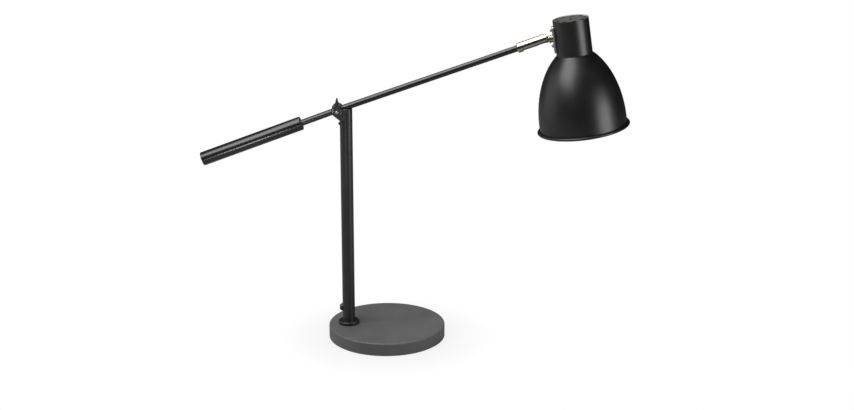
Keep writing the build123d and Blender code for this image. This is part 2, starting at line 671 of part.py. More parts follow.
def knuckle_barrel():
    """Barrel under the half tube, slotted at its end and underneath for the stem's tongue."""
    barrel = rod_x(BARREL_DIAMETER, RING_END, BARREL_END)
    barrel = chamfer(barrel.edges().filter_by(GeomType.CIRCLE), BARREL_EDGE)
    room = EYE_RADIUS + EYE_CLEARANCE
    half = TONGUE_THICKNESS / 2 + EYE_CLEARANCE
    eye_room = Pos(PIN_REACH, 0, 0) * rod_y(2 * room, -half, half)
    below = box_between(PIN_REACH - room, BARREL_END + CUT, -half, half, -BARREL_DIAMETER, 0)
    ahead = box_between(PIN_REACH, BARREL_END + CUT, -half, half, -BARREL_DIAMETER, room)
    lead_bore = rod_x(ARM_LEAD_DIAMETER, RING_END - CUT, PIN_REACH)
    pin_bore = Pos(PIN_REACH, 0, 0) * rod_y(PIN_DIAMETER, -BARREL_DIAMETER, BARREL_DIAMETER)
    return FRONT_ARM * (barrel - eye_room - below - ahead - lead_bore - pin_bore)


def knuckle_pin():
    half = BARREL_DIAMETER / 2 - PIN_RECESS
    return FRONT_ARM * Pos(PIN_REACH, 0, 0) * rod_y(PIN_DIAMETER, -half, half)


def knuckle_stem():
    """Flat tongue with an eye, a flange, and a hollow threaded end that carries the shade."""
    half = TONGUE_THICKNESS / 2
    eye = rod_y(2 * EYE_RADIUS, -half, half)
    radius = STEM_DIAMETER / 2
    tongue = box_between(0, TONGUE_LENGTH, -half, half, -radius, radius)
    neck = rod_x(STEM_DIAMETER, TONGUE_LENGTH, FLANGE_START)
    flange_end = FLANGE_START + STEM_FLANGE_THICKNESS
    flange = rod_x(STEM_FLANGE_DIAMETER, FLANGE_START, flange_end)
    flange = chamfer(flange.edges().filter_by(GeomType.CIRCLE), STEM_FLANGE_CHAMFER)
    thread_end = STEM_NUT_START + STEM_NUT_THICKNESS + STEM_NUT_OVERHANG
    thread = rod_x(STEM_THREAD, flange_end, thread_end)
    bore = rod_x(STEM_BORE, PIN_DIAMETER, thread_end + CUT)
    pin_bore = rod_y(PIN_DIAMETER + 2 * RUNNING, -STEM_DIAMETER, STEM_DIAMETER)
    return STEM * (eye + tongue + neck + flange + thread - bore - pin_bore)


def stem_nut():
    outline = Rot(0, 90, 0) * hex_z(STEM_NUT_WIDTH, 0, STEM_NUT_THICKNESS)
    thread = rod_x(STEM_THREAD + 2 * THREAD, -CUT, STEM_NUT_THICKNESS + CUT)
    return STEM * Pos(STEM_NUT_START, 0, 0) * (outline - thread)


def stem_boss():
    """Turned spacer on the plate, which the stem turns in."""
    boss = ring_x(BOSS_DIAMETER, STEM_THREAD + 2 * RUNNING, BOSS_START, PLATE_START)
    return STEM * boss


# ---------------------------------------------------------------- bracket
def screw_places():
    """Heights of the two bracket screws above the stem's axis."""
    return [SCREW_ABOVE_STEM, -SCREW_BELOW_STEM]


def bracket_holes():
    """Stem hole and screw holes through plate, packing, neck and strap, in the stem's frame."""
    holes = rod_x(STEM_THREAD + 2 * HOLE_CLEARANCE, 0, SHADE_REACH)
    for height in screw_places():
        holes = holes + Pos(0, 0, height) * rod_x(PLATE_SCREW_DIAMETER, 0, SHADE_REACH)
    return holes


def bracket_plate():
    outline = RectangleRounded(PLATE_LENGTH, PLATE_WIDTH, PLATE_CORNER_RADIUS)
    plate = Rot(0, 90, 0) * extrude(outline, PLATE_THICKNESS)
    plate = Pos(PLATE_START, 0, -PLATE_SHIFT) * plate
    return STEM * (plate - bracket_holes())


def bracket_saddle():
    """Black packing piece that beds the flat plate on the round neck."""
    top = SADDLE_LENGTH / 2 - PLATE_SHIFT
    face = PLATE_START + PLATE_THICKNESS
    half = SADDLE_WIDTH / 2
    saddle = box_between(face, SHADE_REACH, -half, half, top - SADDLE_LENGTH, top)
    neck = Pos(SHADE_REACH, 0, 0) * rod_z(NECK_DIAMETER, -NECK_DIAMETER, NECK_DIAMETER)
    return STEM * (saddle - neck - bracket_holes())


def bracket_screws():
    """Two domed screws through the plate and the neck into the holder's strap."""
    end = SHADE_REACH - STRAP_INNER + PLATE_SCREW_END
    screws = []
    for height in screw_places():
        head = Rot(0, -90, 0) * dome_z(PLATE_SCREW_HEAD, PLATE_SCREW_HEAD_HEIGHT)
        head = Pos(PLATE_START, 0, 0) * head
        shank = rod_x(PLATE_SCREW_DIAMETER, PLATE_START, end)
        screws.append(STEM * Pos(0, 0, height) * (head + shank))
    return screws


# ---------------------------------------------------------------- shade
def bowl_point(belly, depth, lift):
    """A point of the bowl's side view, lift degrees up from its widest level.

    The side is part of an oval whose middle lies BOWL_SHIFT past the shade's axis.
    """
    angle = radians(lift)
    across = (belly + BOWL_SHIFT) * cos(angle) - BOWL_SHIFT
    return (across, -BELLY_DEPTH + depth * sin(angle))


def bowl_arcs(belly, depth, neck):
    """The bowl's side from the neck down to its widest level, as a chain of arcs."""
    top = degrees(acos((neck + BOWL_SHIFT) / (belly + BOWL_SHIFT)))
    step = top / BOWL_ARCS
    arcs = []
    for i in range(BOWL_ARCS):
        high = top - i * step
        points = [bowl_point(belly, depth, high - k * step / 2) for k in range(3)]
        arcs.append(ThreePointArc(*points))
    return arcs


def shade_shell():
    """Spun metal: straight neck, oval bowl and a rolled bead at the rim."""
    neck = NECK_DIAMETER / 2
    belly = BOWL_DIAMETER / 2
    outer_arcs = bowl_arcs(belly, BOWL_DEPTH, neck)
    inner_arcs = bowl_arcs(belly - SHADE_WALL, BOWL_DEPTH - SHADE_WALL, neck - SHADE_WALL)
    rim = -BELLY_DEPTH - RIM_DROP
    outer_top = outer_arcs[0] @ 0
    inner_top = inner_arcs[0] @ 0
    lines = [
        Line((neck - SHADE_WALL, 0), (neck, 0)),
        Line((neck, 0), outer_top),
        *outer_arcs,
        Line((belly, -BELLY_DEPTH), (belly, rim)),
        Line((belly, rim), (belly - SHADE_WALL, rim)),
        Line((belly - SHADE_WALL, rim), (belly - SHADE_WALL, -BELLY_DEPTH)),
        *inner_arcs,
        Line(inner_top, (neck - SHADE_WALL, 0)),
    ]
    section = make_face(Curve() + lines)
    creases = [v for v in section.vertices() if v.center() in (outer_top, inner_top)]
    section = fillet(creases, CREASE_RADIUS)
    shell = revolve(Plane.XZ * section, Axis.Z)
    bead = Pos(0, 0, rim) * Torus(belly + BEAD_OFFSET, BEAD_RADIUS)
    return SHADE * (shell + bead) - STEM * bracket_holes()


def vent_cap():
    """Pressed disc with vent holes, its skirt pushed into the neck's top."""
    outer = 2 * (NECK_INNER_RADIUS - CAP_GAP)
    top = -CAP_RECESS
    disc = rod_z(outer, top - CAP_THICKNESS, top)
    disc = fillet(disc.edges().group_by(Axis.Z)[-1], CAP_THICKNESS / 2)
    skirt = ring_z(outer, outer - 2 * CAP_THICKNESS, top - CAP_SKIRT, top - CAP_THICKNESS / 2)
    vents = rod_z(VENT_DIAMETER, top - 2 * CAP_THICKNESS, top + CUT)
    for i in range(VENT_COUNT):
        vent = rod_z(VENT_DIAMETER, top - 2 * CAP_THICKNESS, top + CUT)
        vents = vents + Rot(0, 0, i * 360 / VENT_COUNT) * Pos(VENT_RING_RADIUS, 0, 0) * vent
    return SHADE * (disc + skirt - vents)


# ---------------------------------------------------------------- lampholder
def holder_strap():
    """Angle strap inside the neck: the bracket screws hold it and it holds the lampholder."""
    half = PLATE_WIDTH / 2
    leg = box_between(-STRAP_FACE, -STRAP_INNER, -half, half, -STRAP_BOTTOM, -STRAP_TOP)
    arm = box_between(-STRAP_FACE, 0, -half, half, -HOLDER_TOP, -STRAP_TOP)
    pad = rod_z(STRAP_PAD_DIAMETER, -HOLDER_TOP, -STRAP_TOP)
    nipple_hole = rod_z(NIPPLE_DIAMETER + 2 * THREAD, -STRAP_BOTTOM, 0)
    return SHADE * (leg + arm + pad - nipple_hole) - STEM * bracket_holes()


def holder_nipple():
    top = -STRAP_TOP + HOLDER_NUT_HEIGHT
    return SHADE * ring_z(NIPPLE_DIAMETER, NIPPLE_BORE, top - HOLDER_NIPPLE_LENGTH, top)


def holder_nut():
    nut = hex_z(FOOT_NUT_WIDTH, -STRAP_TOP, -STRAP_TOP + HOLDER_NUT_HEIGHT)
    return SHADE * (nut - rod_z(NIPPLE_DIAMETER + 2 * THREAD, -STRAP_BOTTOM, 0))


def holder_body():
    """Moulded lampholder with its socket open below."""
    skirt_top = HOLDER_BOTTOM - HOLDER_SKIRT_LENGTH
    body = rod_z(HOLDER_DIAMETER, -skirt_top, -HOLDER_TOP)
    skirt = rod_z(HOLDER_SKIRT_DIAMETER, -HOLDER_BOTTOM, -skirt_top)
    socket = rod_z(SOCKET_DIAMETER, -HOLDER_BOTTOM - CUT, -SOCKET_TOP)
    nipple_depth = HOLDER_NIPPLE_LENGTH - HOLDER_NUT_HEIGHT + STRAP_TOP
    nipple_bore = rod_z(NIPPLE_DIAMETER + 2 * THREAD, -nipple_depth, 0)
    lead_bore = rod_z(HOLDER_LEAD_BORE, -SOCKET_TOP - CUT, 0)
    return SHADE * (body + skirt - socket - nipple_bore - lead_bore)


def holder_shell():
    """Screw shell of the socket."""
    outer = SOCKET_DIAMETER - 2 * THREAD
    low = -HOLDER_BOTTOM + CONTACT_SHELL_SETBACK
    high = -SOCKET_TOP - CONTACT_SHELL_SETBACK
    return SHADE * ring_z(outer, outer - 2 * CONTACT_SHELL_WALL, low, high)


def holder_contact():
    top = -SOCKET_TOP
    return SHADE * rod_z(CONTACT_DIAMETER, top - CONTACT_THICKNESS, top)


# ---------------------------------------------------------------- bulb
def bulb_cap():
    cap = rod_z(BULB_CAP_DIAMETER, -HOLDER_BOTTOM, -BULB_CAP_TOP)
    cap = chamfer(cap.edges().group_by(Axis.Z)[-1], BULB_CAP_CHAMFER)
    tip_top = -BULB_CAP_TOP + BULB_TIP_LENGTH - CONTACT_THICKNESS
    tip = rod_z(BULB_TIP_DIAMETER, -BULB_CAP_TOP, tip_top)
    return SHADE * (cap + tip)


def globe(neck, ball, base):
    """Round bulb standing on its neck: the neck's cone meets the ball on a tangent."""
    centre = -BULB_BOTTOM + BULB_DIAMETER / 2
    body = Pos(0, 0, centre) * Sphere(ball)
    rise = base - centre
    reach = sqrt(rise ** 2 + neck ** 2)
    lean = acos(ball / reach) - acos(rise / reach)
    touch_z = centre + ball * cos(lean)
    touch_r = ball * sin(lean)
    cone = Polygon((0, touch_z), (touch_r, touch_z), (neck, base), (0, base), align=None)
    return body + revolve(Plane.XZ * cone, Axis.Z)


def bulb_glass():
    neck = BULB_NECK_DIAMETER / 2
    ball = BULB_DIAMETER / 2
    outside = globe(neck, ball, -HOLDER_BOTTOM)
    inside = globe(neck - BULB_WALL, ball - BULB_WALL, -HOLDER_BOTTOM - BULB_WALL)
    return SHADE * (outside - inside)


# ---------------------------------------------------------------- all the pieces
PIECES = {
    "base_cover": base_cover,
    "base_weight": base_weight,
    "base_pad": base_pad,
    "inlet_bush": inlet_bush,
    "post_tube": post_tube,
    "post_collar": post_collar,
    "foot_bush": foot_bush,
    "foot_nipple": foot_nipple,
    "foot_washer": foot_washer,
    "foot_nut": foot_nut,
    "post_lead": post_lead,
    "switch_housing": switch_housing,
    "switch_bezel": switch_bezel,
    "switch_button": switch_button,
    "swivel_washer": swivel_washer,
    "swivel_screw": swivel_screw,
    "swivel_head": swivel_head,
    "pivot_bolt": pivot_bolt,
    "pivot_washers": pivot_washers,
    "lever_washer": lever_washer,
    "tension_lever": tension_lever,
    "lever_screw": lever_screw,
    "pivot_block": pivot_block,
    "arm_tube_front": arm_tube_front,
    "arm_tube_rear": arm_tube_rear,
    "arm_lead": arm_lead,
    "counterweight": counterweight,
    "knuckle_sleeve": knuckle_sleeve,
    "knuckle_barrel": knuckle_barrel,
    "knuckle_pin": knuckle_pin,
    "knuckle_stem": knuckle_stem,
    "stem_nut": stem_nut,
    "stem_boss": stem_boss,
    "bracket_plate": bracket_plate,
    "bracket_saddle": bracket_saddle,
    "bracket_screws": bracket_screws,
    "shade_shell": shade_shell,
    "vent_cap": vent_cap,
    "holder_strap": holder_strap,
    "holder_nipple": holder_nipple,
    "holder_nut": holder_nut,
    "holder_body": holder_body,
    "holder_shell": holder_shell,
    "holder_contact": holder_contact,
    "bulb_cap": bulb_cap,
    "bulb_glass": bulb_glass,
}

os.makedirs("parts", exist_ok=True)
for name, make in PIECES.items():
    piece = make()
    if isinstance(piece, list):
        piece = Compound(children=piece)
    export_step(piece, f"parts/{name}.step")
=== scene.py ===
from math import cos, pi, radians, sin

import bpy
from mathutils import Matrix, Vector


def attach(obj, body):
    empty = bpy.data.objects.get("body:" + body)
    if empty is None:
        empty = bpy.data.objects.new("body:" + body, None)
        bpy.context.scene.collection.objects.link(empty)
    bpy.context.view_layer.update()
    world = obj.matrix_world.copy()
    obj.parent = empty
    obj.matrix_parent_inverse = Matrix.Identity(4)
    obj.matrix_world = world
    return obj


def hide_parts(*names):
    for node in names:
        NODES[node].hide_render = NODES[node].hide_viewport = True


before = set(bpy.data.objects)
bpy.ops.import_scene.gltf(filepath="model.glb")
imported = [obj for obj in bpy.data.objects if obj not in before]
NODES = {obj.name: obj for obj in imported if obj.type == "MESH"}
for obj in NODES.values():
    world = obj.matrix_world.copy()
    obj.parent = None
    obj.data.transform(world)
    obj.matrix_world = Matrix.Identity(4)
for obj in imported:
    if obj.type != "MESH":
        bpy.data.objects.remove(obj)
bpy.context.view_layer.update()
MM = 0.001
ARM_SLOPE = radians(19.35)
SHADE_TILT = radians(8.2)


# ------------------------------------------------------------------ node trees
class Wire:
    """One output socket in a node tree. Arithmetic on it adds Math nodes."""

    def __init__(self, nodes, socket):
        self.nodes = nodes
        self.socket = socket

    def maths(self, operation, first, second):
        return self.nodes.node("ShaderNodeMath", {"operation": operation}, {0: first, 1: second})

    def __add__(self, other):
        return self.maths("ADD", self, other)

    def __radd__(self, other):
        return self.maths("ADD", other, self)

    def __mul__(self, other):
        return self.maths("MULTIPLY", self, other)

    def __rmul__(self, other):
        return self.maths("MULTIPLY", other, self)


class Nodes:
    """A node tree under construction."""

    def __init__(self, tree):
        self.tree = tree

    def node(self, kind, settings, sockets, output=0):
        """Adds a node: its settings first, then the values or links of its sockets."""
        made = self.tree.nodes.new(kind)
        for key, value in settings.items():
            setattr(made, key, value)
        for key, value in sockets.items():
            self.feed(made.inputs[key], value)
        return Wire(self, made.outputs[output])

    def feed(self, socket, value):
        """Links a wire to a socket, or sets its value."""
        if isinstance(value, Wire):
            self.tree.links.new(value.socket, socket)
        elif isinstance(value, tuple) and len(value) == 3 and socket.type == "RGBA":
            socket.default_value = (*value, 1.0)
        else:
            socket.default_value = value

    def range(self, value, low, high, new_low, new_high):
        """New_low to new_high as the value goes from low to high, and level past them."""
        return self.node(
            "ShaderNodeMapRange",
            {"clamp": True},
            {0: value, 1: low, 2: high, 3: new_low, 4: new_high},
        )


# ------------------------------------------------------------------ finishes
NOISE_SPAN = (0.3, 0.7)


class Finish(Nodes):
    """A material under construction, built round one Principled shader."""

    def __init__(self, name):
        self.material = bpy.data.materials.new(name)
        self.material.use_nodes = True
        super().__init__(self.material.node_tree)
        self.shader = self.tree.nodes["Principled BSDF"]
        self.place = self.node("ShaderNodeTexCoord", {}, {}, "Object")

    def set(self, **sockets):
        """Feeds the shader's sockets, with _ in their names for a space."""
        for key, value in sockets.items():
            self.feed(self.shader.inputs[key.replace("_", " ")], value)

    def noise(self, size, detail=2.0, roughness=0.5, stretch=(1.0, 1.0, 1.0), turn=(0.0, 0.0, 0.0)):
        """Noise whose grain is about size metres, stretched along the axes."""
        scaled = self.node(
            "ShaderNodeMapping", {}, {"Vector": self.place, "Rotation": turn, "Scale": stretch}
        )
        return self.node(
            "ShaderNodeTexNoise",
            {},
            {"Vector": scaled, "Scale": 1.0 / size, "Detail": detail, "Roughness": roughness},
            "Fac",
        )

    def speckle(self, size):
        """Distance to the middle of cells about size metres across."""
        return self.node(
            "ShaderNodeTexVoronoi", {}, {"Vector": self.place, "Scale": 1.0 / size}, "Distance"
        )

    def blend(self, factor, first, second):
        """From the first colour to the second as the factor goes from 0 to 1."""
        return self.node("ShaderNodeMix", {"data_type": "RGBA"}, {0: factor, 6: first, 7: second}, 2)

    def mask(self, value, low, high):
        """0 where the value is below low and 1 where it is above high."""
        return self.range(value, low, high, 0.0, 1.0)

    def vary(self, noise, low, high):
        """Low to high over a noise's usual span."""
        return self.range(noise, *NOISE_SPAN, low, high)

    def bump(self, height, distance):
        """Raises the surface where the height is 1 by distance metres, in the shading only."""
        normal = self.node("ShaderNodeBump", {}, {"Height": height, "Distance": distance, "Strength": 1.0})
        self.set(Normal=normal)


def powder_coat(name, colour, paler, roughness, grain, depth):
    """Satin powder coat: fine orange peel, faint dust in it, a slightly uneven sheen."""
    finish = Finish(name)
    cloud = finish.noise(size=0.035, detail=3.0)
    peel = finish.noise(size=grain, detail=3.0, roughness=0.6)
    pits = finish.speckle(size=grain * 2.2)
    tone = finish.mask(cloud * 0.6 + peel * 0.4, low=0.35, high=0.65)
    finish.set(Base_Color=finish.blend(tone, colour, paler))
    finish.set(Roughness=finish.vary(cloud, roughness - 0.03, roughness + 0.04))
    finish.bump(peel * 0.7 + pits * 0.3, depth)
    return finish.material


def enamel(name, colour, paler, roughness):
    """Smooth stove enamel, with a faint unevenness."""
    finish = Finish(name)
    cloud = finish.noise(size=0.02)
    peel = finish.noise(size=0.005)
    finish.set(Base_Color=finish.blend(cloud, colour, paler))
    finish.set(Roughness=finish.vary(cloud, roughness - 0.02, roughness + 0.03))
    finish.bump(peel, distance=0.000008)
    return finish.material


def plated(name, colour, tarnish, roughness, slope):
    """Nickel plate: bright, with a little haze, tarnish in patches and faint marks."""
    finish = Finish(name)
    haze = finish.noise(size=0.006, detail=3.0)
    marks = finish.noise(size=0.004, roughness=0.6, turn=(0.0, slope, 0.0))
    stain = finish.mask(haze, low=0.45, high=0.75)
    finish.set(Base_Color=finish.blend(stain, colour, tarnish), Metallic=1.0)
    finish.set(Roughness=finish.vary(haze * 0.6 + marks * 0.4, roughness - 0.03, roughness + 0.07))
    finish.bump(marks, distance=0.000004)
    return finish.material


def zinc(name):
    """Zinc-plated steel hardware with a dull bluish bloom."""
    finish = Finish(name)
    bloom = finish.noise(size=0.004, detail=4.0)
    scratch = finish.noise(size=0.0008, roughness=0.6, stretch=(0.3, 1.0, 3.0))
    finish.set(Base_Color=finish.blend(bloom, (0.50, 0.51, 0.52), (0.64, 0.63, 0.60)), Metallic=1.0)
    finish.set(Roughness=finish.vary(bloom * 0.5 + scratch * 0.5, 0.28, 0.46))
    finish.bump(scratch, distance=0.00001)
    return finish.material


def brass(name):
    """Satin brass of the lampholder's and bulb's contacts."""
    finish = Finish(name)
    bloom = finish.noise(size=0.003, detail=3.0)
    finish.set(Base_Color=finish.blend(bloom, (0.70, 0.52, 0.24), (0.80, 0.66, 0.38)), Metallic=1.0)
    finish.set(Roughness=finish.vary(bloom, 0.22, 0.36))
    finish.bump(bloom, distance=0.00001)
    return finish.material


def casting(name):
    """Rough grey iron of the base weight."""
    finish = Finish(name)
    sand = finish.noise(size=0.0016, detail=5.0, roughness=0.7)
    rust = finish.mask(finish.noise(size=0.014, detail=4.0), low=0.52, high=0.72)
    finish.set(Base_Color=finish.blend(rust, (0.10, 0.10, 0.10), (0.14, 0.09, 0.06)), Metallic=0.6)
    finish.set(Roughness=finish.vary(sand, 0.6, 0.85))
    finish.bump(sand, distance=0.0004)
    return finish.material


def rubber(name):
    """Matte rubber of the pad and the cord's bush, with a pale bloom."""
    finish = Finish(name)
    bloom = finish.noise(size=0.012, detail=4.0)
    tooth = finish.noise(size=0.0007, detail=3.0, roughness=0.7)
    finish.set(Base_Color=finish.blend(bloom, (0.016, 0.016, 0.017), (0.034, 0.033, 0.032)))
    finish.set(Roughness=finish.vary(tooth, 0.72, 0.9))
    finish.bump(tooth, distance=0.00012)
    return finish.material


def moulding(name, colour, paler, roughness):
    """Moulded plastic with a fine spark-eroded grain."""
    finish = Finish(name)
    grain = finish.noise(size=0.0006, detail=3.0, roughness=0.6)
    cloud = finish.noise(size=0.01)
    finish.set(Base_Color=finish.blend(cloud, colour, paler))
    finish.set(Roughness=finish.vary(grain, roughness - 0.05, roughness + 0.08))
    finish.bump(grain, distance=0.00003)
    return finish.material


def frosted_glass(name):
    """Inside-frosted bulb: milky, with a clear skin over it."""
    finish = Finish(name)
    cloud = finish.noise(size=0.009)
    finish.set(Base_Color=finish.blend(cloud, (0.83, 0.83, 0.80), (0.90, 0.89, 0.86)))
    finish.set(Roughness=finish.vary(cloud, 0.16, 0.24))
    finish.set(Subsurface_Weight=0.25, Subsurface_Scale=0.004, Coat_Weight=0.6, Coat_Roughness=0.05)
    finish.bump(cloud, distance=0.00002)
    return finish.material


# One black powder coat in four tones: the base's and the cap's paler as painted sheen and top light, the
# lampshade's and the post's far deeper as painted shade.
LAMPSHADE_BLACK_PAINTED_SHADE = powder_coat(
    "lampshade_black_painted_shade",
    colour=(0.0040, 0.0040, 0.0041),
    paler=(0.0070, 0.0069, 0.0068),
    roughness=0.38,
    grain=0.0009,
    depth=0.00002,
)
BASE_BLACK_PAINTED_SHEEN = powder_coat(
    "base_black_painted_sheen",
    colour=(0.070, 0.070, 0.070),
    paler=(0.088, 0.0875, 0.0865),
    roughness=0.52,
    grain=0.0008,
    depth=0.00006,
)
CAP_BLACK_PAINTED_SHEEN = powder_coat(
    "cap_black_painted_sheen",
    colour=(0.052, 0.049, 0.046),
    paler=(0.070, 0.066, 0.062),
    roughness=0.55,
    grain=0.0007,
    depth=0.00006,
)
POST_BLACK_PAINTED_SHADE = powder_coat(
    "post_black_painted_shade",
    colour=(0.0085, 0.0085, 0.0087),
    paler=(0.0130, 0.0130, 0.0128),
    roughness=0.36,
    grain=0.0009,
    depth=0.00002,
)
SHADE_WHITE = powder_coat(
    "shade_white",
    colour=(0.66, 0.65, 0.62),
    paler=(0.74, 0.73, 0.70),
    roughness=0.50,
    grain=0.0009,
    depth=0.00002,
)
ARM_BLACK = enamel(
    "arm_black", colour=(0.007, 0.007, 0.008), paler=(0.012, 0.012, 0.0125), roughness=0.24
)
# Nickel in three tones: the sleeve's dimmer and the screws' much darker than the plate's, as painted shade
# that tones down their highlights.
NICKEL = plated(
    "nickel_plate",
    colour=(0.46, 0.42, 0.355),
    tarnish=(0.38, 0.34, 0.275),
    roughness=0.19,
    slope=ARM_SLOPE,
)
SCREW_NICKEL_PAINTED_SHADE = plated(
    "screw_nickel_painted_shade", colour=(0.26, 0.25, 0.23), tarnish=(0.20, 0.19, 0.17), roughness=0.26, slope=0.0
)
NICKEL_SATIN = plated(
    "nickel_satin",
    colour=(0.66, 0.63, 0.57),
    tarnish=(0.56, 0.52, 0.45),
    roughness=0.40,
    slope=SHADE_TILT,
)
ZINC = zinc("zinc_plate")
BRASS = brass("brass")
IRON = casting("cast_iron")
RUBBER = rubber("black_rubber")
PLASTIC = moulding(
    "black_plastic", colour=(0.014, 0.014, 0.014), paler=(0.022, 0.022, 0.022), roughness=0.45
)
NYLON = moulding("nylon", colour=(0.52, 0.51, 0.47), paler=(0.62, 0.61, 0.57), roughness=0.40)
GLASS = frosted_glass("bulb_glass")

NODE_FINISHES = {
    "base_cover": BASE_BLACK_PAINTED_SHEEN,
    "base_weight": IRON,
    "base_pad": RUBBER,
    "inlet_bush": RUBBER,
    "post_tube": POST_BLACK_PAINTED_SHADE,
    "post_collar": POST_BLACK_PAINTED_SHADE,
    "foot_bush": ZINC,
    "foot_nipple": ZINC,
    "foot_washer": ZINC,
    "foot_nut": ZINC,
    "post_lead": PLASTIC,
    "switch_housing": PLASTIC,
    "switch_bezel": POST_BLACK_PAINTED_SHADE,
    "switch_button": PLASTIC,
    "swivel_washer": PLASTIC,
    "swivel_screw": POST_BLACK_PAINTED_SHADE,
    "swivel_head": POST_BLACK_PAINTED_SHADE,
    "pivot_bolt": ZINC,
    "pivot_washers": NYLON,
    "lever_washer": ZINC,
    "tension_lever": POST_BLACK_PAINTED_SHADE,
    "lever_screw": SCREW_NICKEL_PAINTED_SHADE,
    "pivot_block": ZINC,
    "arm_tube_front": ARM_BLACK,
    "arm_tube_rear": ARM_BLACK,
    "arm_lead": PLASTIC,
    "counterweight": ARM_BLACK,
    "knuckle_sleeve": NICKEL,
    "knuckle_barrel": NICKEL,
    "knuckle_pin": NICKEL,
    "knuckle_stem": NICKEL,
    "stem_nut": ZINC,
    "stem_boss": NICKEL,
    "bracket_plate": NICKEL_SATIN,
    "bracket_saddle": PLASTIC,
    "bracket_screws": SCREW_NICKEL_PAINTED_SHADE,
    "shade_shell": LAMPSHADE_BLACK_PAINTED_SHADE,
    "vent_cap": CAP_BLACK_PAINTED_SHEEN,
    "holder_strap": ZINC,
    "holder_nipple": ZINC,
    "holder_nut": ZINC,
    "holder_body": PLASTIC,
    "holder_shell": BRASS,
    "holder_contact": BRASS,
    "bulb_cap": BRASS,
    "bulb_glass": GLASS,
}
for node_name, finish in NODE_FINISHES.items():
    for slot in NODES[node_name].material_slots:
        slot.material = finish


# ------------------------------------------------------------------ tools for turned pieces
SMOOTH_ANGLE = radians(32.0)
SAME_SPOT = 0.000002
ROD_SIDES = 32


def deselect():
    bpy.ops.object.select_all(action="DESELECT")


def smooth():
    bpy.ops.object.shade_smooth_by_angle(angle=SMOOTH_ANGLE)


def arc(centre_radius, centre_height, radius, start, end, steps):
    """Points of an arc in a piece's side view, angles in degrees from straight outwards."""
    points = []
    for i in range(steps + 1):
        angle = radians(start + (end - start) * i / steps)
        points.append((centre_radius + radius * cos(angle), centre_height + radius * sin(angle)))
    return points


def ring_steps(profile):
    """Pushes the selected ring from each station of the side view to the next."""
    for (radius, height), (next_radius, next_height) in zip(profile, profile[1:]):
        bpy.ops.mesh.extrude_region_move(
            TRANSFORM_OT_translate={"value": (0.0, 0.0, (next_height - height) * MM)}
        )
        share = next_radius / radius
        bpy.ops.transform.resize(
            value=(share, share, 1.0), center_override=(0.0, 0.0, next_height * MM)
        )


def turned(name, profile, place, sides=96):
    """A round piece: a ring drawn out through its side view of (radius, height), in millimetres.

    A side view that ends where it starts makes a closed wall, any other a solid piece.
    """
    closed = profile[0] == profile[-1]
    radius, height = profile[0]
    deselect()
    bpy.ops.mesh.primitive_circle_add(
        vertices=sides,
        radius=radius * MM,
        location=(0.0, 0.0, height * MM),
        fill_type="NOTHING" if closed else "TRIFAN",
    )
    piece = bpy.context.active_object
    piece.name = name
    bpy.ops.object.transform_apply(location=True, rotation=True, scale=True)
    bpy.ops.object.mode_set(mode="EDIT")
    bpy.ops.mesh.select_all(action="SELECT")
    ring_steps(profile)
    bpy.ops.mesh.select_all(action="SELECT")
    bpy.ops.mesh.remove_doubles(threshold=SAME_SPOT)
    bpy.ops.mesh.normals_make_consistent(inside=False)
    bpy.ops.object.mode_set(mode="OBJECT")
    piece.matrix_world = place
    bpy.ops.object.transform_apply(location=True, rotation=True, scale=True)
    smooth()
    return piece


def dress(piece, body, node):
    """Gives a piece its finish and its body, and lets it stand for its CAD node."""
    piece.data.materials.append(NODE_FINISHES[node])
    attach(piece, body)
    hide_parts(node)


def rod(start, end, diameter):
    """A plain rod between two points, to cut a hole with, its diameter in millimetres."""
    middle = (start + end) / 2
    turn = (end - start).to_track_quat("Z", "Y").to_euler()
    deselect()
    bpy.ops.mesh.primitive_cylinder_add(
        vertices=ROD_SIDES,
        radius=diameter / 2 * MM,
        depth=(end - start).length,
        location=middle,
        rotation=turn,
    )
    return bpy.context.active_object


def drill(piece, ends, diameter):
    """Cuts round holes through a piece, each along a pair of end points, and leaves it selected."""
    rods = [rod(start, end, diameter) for start, end in ends]
    deselect()
    for one in rods:
        one.select_set(True)
    bpy.context.view_layer.objects.active = rods[0]
    bpy.ops.object.join()
    cutter = bpy.context.active_object
    deselect()
    piece.select_set(True)
    bpy.context.view_layer.objects.active = piece
    hole = piece.modifiers.new("holes", "BOOLEAN")
    hole.operation = "DIFFERENCE"
    hole.solver = "EXACT"
    hole.object = cutter
    bpy.ops.object.modifier_apply(modifier=hole.name)
    bpy.data.objects.remove(cutter, do_unlink=True)


def finish_faces(piece, finish, chosen):
    """Gives a second finish to the faces that chosen(place, normal) picks."""
    piece.data.materials.append(finish)
    for face in piece.data.polygons:
        if chosen(face.center, face.normal):
            face.material_index = len(piece.data.materials) - 1


# ------------------------------------------------------------------ shade, cap and counterweight
# Lengths are in millimetres. The shade's frame has its origin in the middle of the neck's top edge,
# with Z up the axis, so levels in it are negative.
STEM_PIN = Vector((192.284, 0.0, 390.666)) * MM
STEM_ALONG = Vector((cos(SHADE_TILT), 0.0, sin(SHADE_TILT)))
STEM_UP = Vector((-sin(SHADE_TILT), 0.0, cos(SHADE_TILT)))
PIN_TO_AXIS = 40.25
STEM_DEPTH = 22.0
SHADE_TOP = STEM_PIN + (STEM_ALONG * PIN_TO_AXIS + STEM_UP * STEM_DEPTH) * MM
SHADE_PLACE = Matrix.Translation(SHADE_TOP) @ Matrix.Rotation(-SHADE_TILT, 4, "Y")

